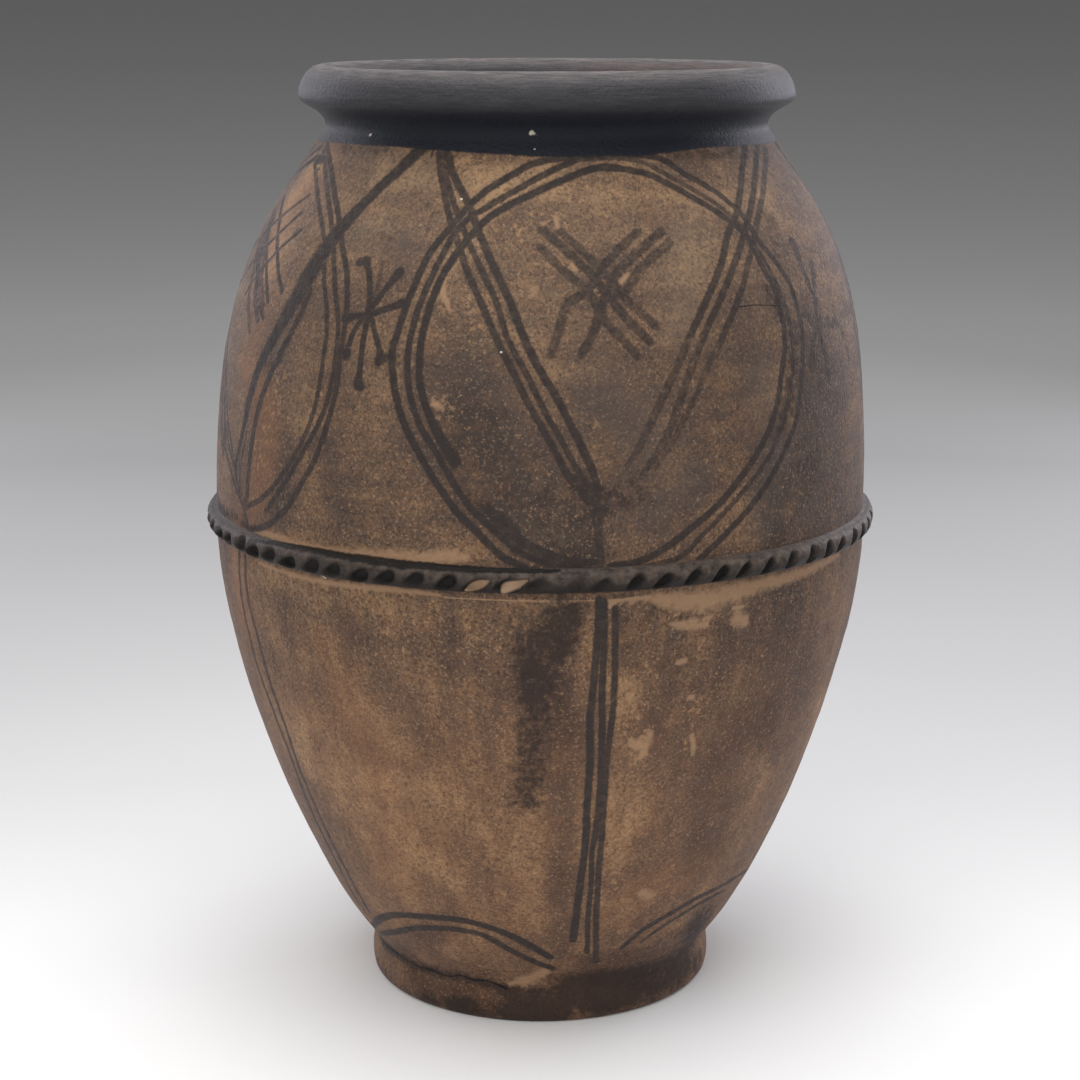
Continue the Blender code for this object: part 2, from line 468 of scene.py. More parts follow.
brushLines["front right"] = {
    "ring outer": ("A", 6.3, 0.88, [
        (545, 160), (600, 156), (655, 157), (683, 173), (717, 193), (742, 215), (760, 242), (780, 268),
        (793, 292), (802, 330), (802, 372), (797, 417), (785, 450), (768, 483), (748, 510), (722, 538),
        (700, 559)]),
    "ring middle": ("B", 5.0, 0.78, [
        (578, 159), (615, 158), (642, 162), (672, 178), (707, 198), (733, 218), (755, 245), (774, 280),
        (789, 320), (793, 360), (789, 400), (780, 432), (767, 460), (742, 493), (703, 535), (680, 557),
        (642, 567), (598, 569)]),
    "ring inner": ("C", 6.6, 0.9, [
        (588, 170), (603, 167), (617, 168), (633, 171), (650, 175), (683, 192), (717, 212), (743, 233),
        (760, 262), (777, 297), (785, 340), (782, 372), (775, 413), (762, 445), (743, 475), (720, 503),
        (693, 527), (667, 547), (640, 561), (610, 566)]),
    "right arm, left": ("D", 6.9, 0.88, [
        (746, 138), (742, 168), (738, 207), (728, 235), (720, 268), (703, 308), (690, 336)]),
    "right arm, left, below": ("D", 7.5, 0.62, [
        (690, 336), (675, 372), (658, 407), (643, 440), (627, 467, 5)]),
    "right arm, middle": ("E", 6.9, 0.85, [
        (757, 140), (755, 173), (750, 212), (737, 257), (723, 293), (703, 338)]),
    "right arm, middle, below": ("E", 7.5, 0.6, [
        (703, 338), (688, 377), (672, 425), (658, 452), (640, 478, 5)]),
    "right arm, right": ("F", 6.6, 0.78, [
        (766, 150), (763, 190), (757, 223), (750, 257), (740, 295), (722, 340)]),
    "right arm, right, below": ("F", 6.0, 0.55, [
        (722, 340), (707, 368), (690, 408), (670, 445), (655, 470, 3)]),
    "lattice up 1": ("D", 7.6, 0.66, [
        (638, 232), (610, 258), (588, 290), (568, 303), (560, 326), (551, 354)]),
    "lattice up 2": ("E", 8.0, 0.7, [
        (662, 231), (633, 257), (612, 280), (600, 312), (592, 336), (581, 354)]),
    "lattice up 3": ("F", 8.0, 0.66, [(670, 242), (642, 267), (628, 288), (612, 296)]),
    "apex": ("D", 6.9, 0.72, [(588, 484, 16.6), (600, 500, 19.3), (597, 522, 8.3), (599, 543), (601, 566)]),
}
brushLines["uprights"] = {
    "left": ("D", 7.1, 0.96, [
        (599, 600), (598, 630), (594, 680), (590, 720), (590, 760), (587, 805), (585, 847), (580, 885),
        (573, 940, 7.9)]),
    "middle": ("E", 6.6, 0.94, [
        (604, 602), (604, 640), (602, 690), (602, 740), (600, 790), (596, 830), (592, 850, 5.3),
        (591, 885, 5.3), (588, 915, 5.3), (587, 952, 5.3)]),
    "right": ("F", 6.1, 0.9, [
        (615, 608), (615, 660), (613, 710), (607, 756), (604, 800), (601, 845), (598, 880), (596, 920),
        (596, 962)]),
}
brushLines["left side"] = {
    "broad stroke": ("D", 10.0, 0.97, [
        (436, 138, 15), (420, 150, 14), (397, 172, 13), (377, 190, 12), (350, 218, 15), (328, 245, 20),
        (310, 273, 22), (293, 303, 19), (275, 335, 14), (260, 365, 12), (250, 397, 11), (245, 423, 8),
        (239, 450, 6), (236, 472, 5), (240, 495, 5)]),
    "beside it": ("E", 7.8, 0.88, [
        (310, 290), (300, 315), (282, 350), (268, 380), (258, 412), (252, 443), (249, 473), (246, 506)]),
    "hair line": ("F", 2.9, 0.8, [(247, 430), (244, 447), (240, 478), (244, 503), (243, 526)]),
    "ring edge, left": ("C", 5.2, 0.85, [
        (314, 158), (318, 198), (324, 240), (324, 282), (327, 320), (323, 360), (317, 397), (307, 430),
        (293, 458), (277, 482), (260, 500), (246, 506)]),
    "ring edge, middle": ("B", 5.7, 0.86, [
        (323, 150), (328, 195), (333, 240), (335, 290), (338, 325), (334, 370), (326, 405), (314, 432),
        (298, 460), (282, 487), (266, 511)]),
    "ring edge, right": ("A", 6.2, 0.88, [
        (327, 145), (333, 183), (338, 213), (342, 243), (347, 280), (346, 315), (341, 350), (336, 390),
        (327, 425), (316, 457), (300, 486), (285, 510), (266, 526), (247, 530)]),
    "lattice up 1": ("D", 4.2, 0.93, [(309, 195), (283, 215), (260, 238), (244, 262)]),
    "lattice up 2": ("E", 4.2, 0.93, [(302, 212), (277, 235), (252, 263), (238, 288)]),
    "lattice up 3": ("F", 4.4, 0.93, [(301, 230), (278, 250), (255, 278), (245, 295)]),
    "lattice down 1": ("A", 5.5, 0.93, [(284, 196), (280, 215), (277, 240), (278, 272), (282, 291)]),
    "lattice down 2": ("B", 5.5, 0.93, [(274, 210), (268, 233), (266, 265), (268, 302)]),
    "lattice down 3": ("C", 5.5, 0.93, [(262, 234), (257, 262), (258, 298), (263, 317)]),
    "far arm, left": ("A", 4.7, 0.8, [
        (221, 385), (222, 423), (227, 453), (235, 485), (244, 510), (247, 527)]),
    "far arm, middle": ("B", 3.6, 0.75, [(224, 385), (225, 413), (230, 447), (236, 472), (241, 498)]),
    "far arm, right": ("C", 4.2, 0.8, [(227, 372), (228, 413), (232, 445), (236, 466)]),
    "upright left": ("D", 5.7, 0.9, [
        (239, 550), (240, 580), (245, 615), (257, 663), (273, 707), (288, 748), (307, 800), (328, 845),
        (352, 893), (366, 914)]),
    "upright right": ("E", 5.5, 0.9, [
        (245, 553), (247, 592), (256, 630), (270, 680), (285, 723), (298, 763), (312, 798), (334, 846),
        (352, 882), (369, 912)]),
}
brushLines["star"] = {
    "across": ("D", 6.2, 0.95, [
        (345, 318, 7), (356, 316), (368, 315), (380, 311), (392, 307), (404, 303, 7)]),
    "its dots": ("D", 9.5, 0.97, [(345, 318), (347, 318)]),
    "its right dot": ("D", 9.0, 0.97, [(401, 304), (404, 303)]),
    "up and down": ("E", 6.2, 0.92, [
        (367, 262), (369, 275), (370, 300), (366, 325), (362, 350), (359, 380)]),
    "cap": ("E", 8.0, 0.9, [(359, 262), (367, 260)]),
    "foot dot": ("E", 10.0, 0.97, [(358, 384), (360, 386)]),
    "slanting": ("F", 6.2, 0.92, [(398, 274), (385, 290), (371, 309), (357, 326, 5), (350, 340, 6)]),
    "high dot": ("F", 9.5, 0.97, [(397, 275), (400, 272)]),
    "low dot": ("F", 10.0, 0.97, [(347, 352), (346, 355)]),
    "down right": ("B", 5.4, 0.92, [(371, 316), (376, 336), (381, 354)]),
    "third dot": ("B", 9.5, 0.97, [(381, 359), (379, 361)]),
    "tail": ("B", 4.0, 0.8, [(383, 358), (390, 357), (395, 347)]),
    "second up": ("C", 4.5, 0.6, [(382, 262), (378, 285), (373, 305)]),
}
brushLines["right star"] = {
    "up": ("D", 7.2, 0.7, [
        (793, 243, 10.8), (800, 262), (807, 280), (815, 300), (817, 323), (824, 350), (829, 377, 9.6)]),
    "down": ("E", 6.6, 0.72, [(812, 264, 9.6), (816, 300, 4.8), (817, 325), (813, 345), (813, 368, 10.8)]),
    "across": ("F", 7.2, 0.6, [
        (800, 312, 6), (817, 322, 9.6), (837, 324, 9.6), (846, 345, 4.8), (849, 360, 4.8)]),
}
brushLines["foot"] = {
    "left arch, outer": ("A", 8.0, 0.97, [
        (372, 926, 6.5), (380, 919), (395, 915), (428, 917), (462, 920), (495, 929), (520, 940, 9.5),
        (550, 957, 8)]),
    "left arch, inner": ("B", 7.6, 0.95, [
        (380, 934, 6), (394, 932), (420, 928), (453, 929), (483, 935), (512, 951), (533, 961), (552, 968)]),
    "right arch, outer": ("A", 7.2, 0.94, [
        (622, 948, 6), (643, 930), (670, 914), (697, 898), (723, 885, 6), (748, 869, 5)]),
    "right arch, inner": ("B", 5.2, 0.88, [
        (640, 943, 3), (656, 931), (678, 917), (702, 902), (724, 890, 4)]),
}

# degrees that the groups are turned through to fill the hidden sides
turnsRound = {
    "front left": (101.5, 189.5, -79.0),
    "front right": (101.5, 189.5),
    "uprights": (101.5, 189.5),
    "star": (204.0, -76.0),
    "foot": (186.0,),
}

brush = {
    "layers": "ABCDEF",
    "reach": 0.0085,           # metres past a line's edge, up to which its distance is kept
    "clearOff": 4.0,           # half widths by which bare clay counts as off every line
    "curveSteps": 6,
    "markSteps": 4,
}


def throughPoints(points, steps):
    # a smooth line through the points, whatever their number of values
    spots = np.array(points, float)
    spots = np.vstack([2 * spots[0] - spots[1], spots, 2 * spots[-1] - spots[-2]])
    line = []
    for a, b, c, d in zip(spots, spots[1:], spots[2:], spots[3:]):
        for t in np.linspace(0, 1, steps, endpoint=False):
            bent = 2 * b + (c - a) * t + (2 * a - 5 * b + 4 * c - d) * t**2 + (3 * b - a - 3 * c + d) * t**3
            line.append(bent / 2)
    return np.array(line + [spots[-2]])


def seenOnJar(across, down):
    # where the camera's rays through the photograph's pixels meet the wall, as azimuths and heights
    tilt = math.radians(shot["downTilt"])
    half = shot["photoSide"] / 2
    focal = shot["lens"] / shot["sensor"] * shot["photoSide"]
    right, up = (across - half) / focal, (half - down) / focal
    depth = np.linspace(1.35, 1.95, 1200)[None, :]      # metres from the camera, past both sides of the jar
    x = right[:, None] * depth
    y = -shot["away"] + (math.cos(tilt) + up[:, None] * math.sin(tilt)) * depth
    z = shot["height"] + (-math.sin(tilt) + up[:, None] * math.cos(tilt)) * depth
    gap = np.hypot(x - leanAt(z), y) - outerRadius(z)
    first = np.where((gap < 0).any(axis=1), np.argmax(gap < 0, axis=1), np.argmin(gap, axis=1))
    row = np.arange(len(first))
    x, y, z = x[row, first], y[row, first], z[row, first]
    return np.arctan2(x - leanAt(z), -y), z


def onWall(azimuth, height):
    radius = outerRadius(height)
    return np.column_stack([radius * np.sin(azimuth) + leanAt(height), -radius * np.cos(azimuth), height])


def halfWidthsOf(line):
    # from widths in mm to half widths in metres
    return line[:, 2] / 2000


def brushStrokes(lines, turns):
    # every stroke as layer, points in space, half widths in metres and ink
    strokes = []
    for group, members in lines.items():
        for layer, width, ink, points in members.values():
            wide = [(*p, width) if len(p) == 2 else p for p in points]
            line = throughPoints(wide, brush["curveSteps"])
            azimuth, height = seenOnJar(line[:, 0], line[:, 1])
            for turn in (0,) + turns.get(group, ()):
                spots = onWall(azimuth + math.radians(turn), height)
                strokes.append((layer, spots, halfWidthsOf(line), ink))
    return strokes


def markStrokes(group):
    # the same for marks: one layer, full ink
    strokes = []
    for points in group.values():
        line = throughPoints(points, brush["markSteps"])
        spots = onWall(*seenOnJar(line[:, 0], line[:, 1]))
        strokes.append(("mark", spots, halfWidthsOf(line), 1.0))
    return strokes


def nearby(places, line, reach):
    # which places lie in the box round a line, grown by a reach
    low, high = line.min(axis=0) - reach, line.max(axis=0) + reach
    return np.flatnonzero(((places > low) & (places < high)).all(axis=1))


def nearestOnLine(places, line, halfWidths):
    # for each place: the way to the nearest point of a line, its half width there, and how far in half widths
    start, run = line[:-1], line[1:] - line[:-1]
    length = np.maximum((run**2).sum(axis=1), 1e-12)
    away = places[:, None, :] - start[None]
    share = np.clip((away * run[None]).sum(axis=2) / length, 0, 1)
    way = start[None] + share[..., None] * run[None] - places[:, None, :]
    half = halfWidths[:-1] + share * np.diff(halfWidths)
    score = np.sqrt((way**2).sum(axis=2)) / half
    best = np.argmin(score, axis=1)
    row = np.arange(len(places))
    return way[row, best], half[row, best], score[row, best]


def paintLayer(layer, strokes, places, normals):
    # per vertex: the way to the nearest line in half widths, and its ink; far ones point off the surface
    value = np.zeros((len(places), 4))
    best = np.full(len(places), np.inf)
    outside = np.full(len(places), brush["reach"])      # metres from the nearest line's edge
    for line, halfWidths, ink in [stroke[1:] for stroke in strokes if stroke[0] == layer]:
        near = nearby(places, line, halfWidths.max() + brush["reach"])
        if not len(near):
            continue
        way, half, score = nearestOnLine(places[near], line, halfWidths)
        better = score < best[near]
        chosen = near[better]
        best[chosen] = score[better]
        outside[chosen] = np.minimum((score[better] - 1) * half[better], brush["reach"])
        value[chosen, :3] = way[better] / half[better][:, None]
        value[chosen, 3] = ink
    lift = brush["clearOff"] * smoothStep(0.002, brush["reach"], outside)
    value[:, :3] += normals * lift[:, None]
    return value


def softField(group, places):
    # soft patches along their lines, added up
    field = np.zeros(len(places))
    for points, radius, strength in group.values():
        line = throughPoints(points, brush["markSteps"])
        spots = onWall(*seenOnJar(line[:, 0], line[:, 1]))
        reach = radius / 1000
        near = nearby(places, spots, reach)
        if len(near):
            score = nearestOnLine(places[near], spots, np.full(len(spots), reach))[2]
            field[near] += strength * (1 - smoothStep(0.1, 1.0, score))
    return field


def writeAttribute(mesh, name, kind, values):
    layer = mesh.attributes.new(name, kind, "POINT")
    layer.data.foreach_set("color" if kind == "FLOAT_COLOR" else "value", np.ravel(values))


# Marks other than the brush lines, read the same way

marks = {}
marks["bare"] = {          # slip and burnish lost, tan clay shows: across, down, width in mm
    "strip under the cordon": [
        (645, 597, 1.5), (655, 599, 7), (680, 601, 13), (706, 600, 16), (724, 596, 14), (745, 590, 11),
        (765, 584, 9), (800, 573, 8), (825, 562, 6), (838, 555, 4)],
    "spot": [(737, 618, 11), (743, 621, 10)],
    "patch under the strip": [(672, 624, 4), (690, 626, 7), (708, 624, 4)],
    "thin line": [(440, 597, 1.0), (500, 600, 1.0), (560, 601, 1.2), (610, 600, 1.0), (645, 597, 2.0)],
    "strip shadow over the cordon": [
        (253, 531, 1.5), (275, 537, 6), (300, 546, 6), (340, 553, 7), (380, 556, 10), (420, 558, 8),
        (450, 557, 9), (467, 557, 5)],
    "pale spot": [(553, 606, 4), (560, 607, 4)],
    "grains": [(609, 607, 2.5), (612, 606, 2.5)],
    "more grains": [(619, 604, 2.2), (621, 604, 2.2)],
    "last grains": [(631, 603, 2.6), (634, 603, 2.6)],
    "flake": [(651, 733, 5), (645, 745, 7), (640, 758, 4)],
    "flake beside it": [(632, 742, 6), (634, 744, 6)],
    "small flakes": [(692, 736, 4), (693, 745, 4), (691, 756, 2)],
    "low flake": [(643, 893, 8), (650, 896, 8)],
    "light band": [(676, 663, 3), (684, 661, 5)],
    "fleck": [(627, 695, 3), (630, 698, 3)],
    "second fleck": [(689, 698, 4), (693, 697, 4)],
    "left flake": [(437, 404, 5), (442, 407, 4)],
    "high flakes": [(556, 218, 4), (557, 227, 3)],
    "ring flakes": [(534, 290, 6), (533, 294, 5)],
    "arm flake": [(573, 266, 4), (575, 271, 4)],
    "lattice flake": [(620, 282, 4), (628, 274, 2.5)],
    "arm gap": [(446, 265, 2), (443, 290, 4), (450, 310, 3)],
    "foot patch": [(512, 984, 6), (528, 979, 10), (542, 973, 9), (549, 968, 5)],
    "joint at the left": [(258, 563, 2), (300, 577, 4), (345, 585, 4), (400, 590, 3.5), (440, 595, 2)],
}
marks["chip"] = {          # white specks of clay in the black slip
    "triangle": [(530, 135, 2.6), (532, 132, 3.0), (535, 135, 2.6)],
    "dot at the left": [(370, 135, 2.4), (371, 135, 2.4)],
    "dot below": [(534, 149, 1.3), (535, 149, 1.3)],
    "shoulder grain": [(461, 199, 1.6), (462, 199, 1.6)],
    "flank grain": [(501, 352, 1.5), (502, 352, 1.5)],
    "cordon glint": [(323, 575, 1.2), (326, 578, 1.2)],
}
marks["broken"] = {        # the two lobes of the cordon that broke away at the front
    "left lobe": [(467, 589, 1.6), (473, 586, 5.0), (481, 583, 6.0), (490, 579, 2.0)],
    "right lobe": [(504, 590, 3.6), (508, 586, 7.2), (517, 583, 6.0), (527, 579, 2.0)],
}
marks["crack"] = {         # dark seams and hair cracks, with painted shade in the foot seam and a painted shadow line along the top of the cordon
    "foot seam": [
        (378, 936, 3.4), (388, 947, 3.8), (397, 954, 2.6), (408, 961, 1.2), (420, 967, 1.8),
        (433, 971, 3.2), (447, 976, 1.6), (460, 976, 1.2), (474, 980, 2.2), (488, 981, 1.2),
        (500, 986, 2.6), (510, 990, 1.4)],
    "hair crack": [(738, 307, 0.9), (757, 305, 0.8), (778, 306, 0.8)],
    "shadow over the cordon": [
        (256, 539, 1.8), (300, 547, 3.4), (345, 555, 4.8), (400, 563, 5.2), (440, 566, 4.6),
        (480, 569, 3.4), (520, 570, 2.4), (560, 570, 1.6)],
}

shades = {}
shades["soot"] = {         # dark smoke and slip stains, and painted shadow just above the cordon: (across, down) along each, radius in mm, strength
    "stain under the cordon": ([(562, 612), (548, 645), (541, 690), (533, 740), (525, 800)], 22, 1.05),
    "left part of it": ([(520, 620), (525, 690)], 18, 0.7),
    "beside the uprights": ([(578, 612), (568, 650)], 13, 0.7),
    "behind the lattice": ([(596, 285), (612, 300)], 22, 0.25),
    "apex": ([(580, 488), (610, 500), (640, 488)], 22, 0.6),
    "between the ring lines": ([(475, 500), (505, 532), (520, 545)], 15, 0.65),
    "right of the ring": ([(764, 214), (778, 235), (778, 258)], 13, 0.6),
    "in the right ring lines": ([(772, 290), (792, 340), (791, 390), (776, 430)], 16, 0.8),
    # these two: painted shadow along the top of the cordon
    "shadow over the cordon, right": ([(770, 556), (805, 547), (845, 533)], 9, 0.9),
    "over the cordon, left": ([(214, 508), (230, 514), (246, 524)], 9, 0.9),
    "under the neck": ([(345, 150), (400, 156), (450, 158), (530, 160)], 8, 0.35),
    "under the neck, right": ([(670, 158), (715, 153), (745, 150)], 9, 0.6),
    "in the strip": ([(684, 615), (700, 616)], 6, 0.8),
    "foot, front": ([(522, 1004), (550, 1002), (578, 992), (600, 986)], 24, 1.5),
    "foot, over it": ([(556, 976), (585, 978), (640, 970)], 14, 0.75),
    "foot, right of it": ([(600, 1000), (640, 978), (680, 958), (698, 925)], 24, 1.15),
    "foot, right edge": ([(625, 1002), (665, 988), (698, 960)], 18, 0.8),
    "under the right arch": ([(655, 945), (690, 925), (706, 905)], 15, 0.5),
    "foot, left edge": ([(380, 965), (400, 990), (430, 1005)], 12, 0.5),
    "foot spot": ([(458, 1003), (469, 1004)], 13, 1.1),
    "foot, left": ([(378, 960), (386, 985), (405, 1000)], 14, 0.5),
    "foot, low": ([(425, 998), (500, 1014), (560, 1014)], 13, 0.9),
    "along the seam": ([(382, 942), (410, 963), (440, 972), (480, 981), (512, 992)], 9, 1.0),
    "seam, left": ([(380, 938), (392, 952)], 8, 0.6),
    "under the uprights": ([(560, 955), (600, 958), (640, 950)], 12, 0.4),
    "left faint ones": ([(286, 400), (284, 428)], 8, 0.4),
    "smear by the star": ([(386, 236), (386, 246)], 11, 0.45),
}
shades["flakes"] = {       # small tan flakes lie thickest here
    "worn lip": ([(700, 84), (716, 88)], 15, 1.3),
    "crest": ([(540, 74), (560, 76)], 12, 0.7),
    "left of the ring": ([(435, 400), (445, 412)], 12, 0.9),
    "inside the ring": ([(470, 300), (480, 345)], 16, 0.6),
    "ring top": ([(520, 235), (560, 225)], 22, 0.7),
    "shoulder": ([(560, 180), (650, 190), (690, 215)], 22, 0.5),
    "neck, left": ([(450, 165), (510, 170)], 18, 1.0),
    "left flank": ([(280, 380), (262, 450)], 24, 0.6),
    "beside the uprights": ([(640, 740), (632, 770), (625, 680)], 16, 0.8),
    "right of them": ([(690, 740), (700, 700)], 14, 0.7),
    "under the cordon": ([(470, 640), (490, 650)], 14, 0.7),
    "low left": ([(300, 720), (420, 860)], 30, 0.3),
    "low right": ([(640, 800), (600, 900)], 24, 0.5),
}
shades["smoked"] = {       # greyer clay
    "in the right arms": ([(690, 235), (680, 325)], 32, 1.0),
    "in the ring, right": ([(610, 390), (650, 450), (640, 510), (690, 480)], 34, 0.8),
    "right of the ring": ([(765, 380), (775, 450), (765, 520)], 28, 0.9),
    "near the neck": ([(370, 158), (430, 175)], 24, 0.9),
    "over the star": ([(365, 235), (405, 245)], 24, 0.9),
}
shades["warmed"] = {       # redder clay, and a painted pool of light on the left shoulder
    "left shoulder": ([(320, 165), (285, 215), (262, 290), (250, 360)], 34, 1.0),
    "left edge": ([(262, 400), (262, 460), (245, 520), (238, 560), (245, 620)], 32, 1.4),
    "lower left": ([(340, 680), (380, 780), (390, 870)], 36, 0.6),
    "low right": ([(720, 860), (640, 890)], 28, 0.6),
}
shades["tone"] = {         # broad lighter (+) and darker (-) areas: firing colours, and painted light and shade, lit on the shoulders and lower left, shaded on the right flank and round the foot
    "under the neck, left": ([(390, 165), (440, 168), (500, 178), (540, 175)], 28, 2.2),
    "inside the ring top": ([(600, 190), (660, 200), (700, 240)], 30, 0.6),
    "shoulder": ([(340, 210), (450, 200), (560, 215), (680, 230), (775, 235)], 60, 0.6),
    "inside the arms": ([(690, 280), (680, 320)], 28, 1.3),
    "under the neck, right": ([(720, 175), (700, 190)], 18, 0.5),
    "left shoulder": ([(322, 165), (290, 200), (275, 260)], 30, 2.2),
    "left flank": ([(270, 370), (262, 430), (280, 480), (250, 510)], 36, -2.9),
    "beside the left ring": ([(325, 440), (330, 500)], 24, -1.0),
    "left, behind": ([(225, 300), (215, 400), (215, 480)], 40, 0.1),
    "over the star": ([(360, 235), (400, 245)], 22, -0.6),
    "ring, high left": ([(440, 275), (470, 235), (490, 195)], 24, 1.7),
    "high right": ([(640, 165), (685, 195), (725, 205), (765, 205)], 24, 1.8),
    "star, below": ([(440, 360), (420, 380)], 18, -0.5),
    "in the arm": ([(455, 275), (470, 320)], 16, 0.6),
    "over the cordon, left": ([(270, 535), (360, 550), (460, 553)], 12, 0.6),
    "lower left": ([(300, 730), (345, 790), (400, 860), (440, 900)], 58, 1.6),
    "low between": ([(450, 800), (500, 850)], 30, 0.6),
    "lower middle": ([(450, 950), (500, 960)], 22, 0.6),
    "left of the uprights": ([(520, 790), (520, 850), (530, 920)], 24, 0.9),
    "at the uprights": ([(562, 640), (562, 740), (562, 860), (560, 960)], 16, -1.7),
    "right of the uprights, top": ([(620, 630), (630, 660)], 18, -1.4),
    "left, low on the belly": ([(420, 720), (430, 790)], 30, 0.6),
    "right of the uprights": ([(632, 690), (628, 780), (622, 860)], 22, 0.7),
    "low right": ([(700, 860), (715, 810), (725, 750), (760, 720)], 34, -2.3),
    "beside it": ([(645, 800), (650, 850)], 18, 0.4),
    "under the cordon, left": ([(300, 590), (400, 600), (450, 620), (490, 640)], 16, 0.5),
    "middle": ([(465, 400), (480, 460), (530, 500), (560, 530)], 58, -2.5),
    "over the cordon, left part": ([(330, 470), (380, 510), (430, 530)], 32, -0.4),
    "right of the arms": ([(700, 420), (730, 440)], 40, -0.45),
    "right flank": ([(825, 400), (820, 520)], 60, -1.7),
    "under the cordon, right": ([(780, 610), (765, 680), (800, 700)], 55, -1.5),
    "under the cordon, middle": ([(350, 640), (450, 650), (540, 680)], 34, -0.6),
    "foot, right": ([(600, 965), (650, 962), (685, 945), (700, 920)], 28, -4.5),
    "foot, all along": ([(395, 965), (470, 990), (560, 1000), (640, 990), (690, 965)], 30, -0.6),
    "foot, left edge": ([(380, 960), (385, 975)], 14, -0.3),
    "in the ring, right": ([(600, 400), (625, 450), (640, 510), (690, 490)], 30, -1.1),
    "at the ring, right": ([(770, 440), (775, 530)], 28, -2.2),
    "right of the ring": ([(812, 310), (808, 390), (808, 450)], 24, -1.6),
    "low left edge": ([(318, 740), (325, 790)], 18, -1.2),
    "over the foot": ([(425, 885), (450, 915), (400, 950)], 22, -2.2),
    "foot, low left": ([(410, 960), (440, 990), (485, 1000)], 20, -3.2),
    "under the cordon, ends": ([(280, 600), (290, 640)], 20, -1.2),
    "right of the uprights, high": ([(645, 690), (650, 720), (680, 640)], 20, -1.0),
    "low, left of the middle": ([(395, 750), (400, 810)], 26, 0.8),
    "right, behind": ([(850, 300), (858, 420), (850, 600)], 30, -0.2),
}

# lower edge of the black neck, across and down
neckEdge = [(321, 141), (340, 143), (367, 145), (400, 147), (450, 151), (500, 154), (540, 157), (600, 156),
            (640, 156), (658, 154), (680, 151), (700, 148), (745, 145), (765, 144)]

breaks = {
    "stub": 0.0042,            # metres of the cordon left where a lobe broke away
    "stubSlope": 0.15,
    "seamDepth": 0.0014,
}

wear = {
    "lip": [(0.22, 0.036, 0.018), (0.45, 0.012, 0.002), (0.30, 0.0025, 0.0005)],   # share, drops from the top: rubbed slip, lighter upward to a painted highlight along the crest
    "crown": 0.36,             # share of slip rubbed off and painted sheen on the cordon's upper half
    "crownSwing": 0.20,        # more on its right
    "mouthDrop": 0.2,          # the blush inside reaches this far down
}


def breakJar(mesh, azimuth, height, onBody):
    # two lobes broken off the cordon, and the seam that opens above the foot
    co = readVectors(mesh, "co")
    depth = np.zeros(len(co))
    lean = leanAt(height)
    radius = np.hypot(co[:, 0] - lean, co[:, 1])
    wall = onWall(azimuth, height)
    for line, halfWidths in [stroke[1:3] for stroke in markStrokes(marks["broken"])]:
        near = nearby(wall, line, 0.01)
        near = near[onBody[near]]
        score = nearestOnLine(wall[near], line, halfWidths)[2]
        slope = breaks["stubSlope"] * (height[near] - cordon["level"])
        over = radius[near] - (wallRadius(cordon["level"]) + breaks["stub"] + slope)
        depth[near] = np.where(score < 1.1, np.maximum(over, 0), depth[near])
    for line, halfWidths in [stroke[1:3] for stroke in markStrokes({"seam": marks["crack"]["foot seam"]})]:
        near = nearby(co, line, 0.01)
        score = nearestOnLine(co[near], line, halfWidths)[2]
        depth[near] += breaks["seamDepth"] * (1 - smoothStep(0.4, 2.6, score))
    scale = (radius - depth) / np.maximum(radius, 1e-6)
    co[:, 0] = lean + (co[:, 0] - lean) * scale
    co[:, 1] *= scale
    moveVertices(mesh, co)


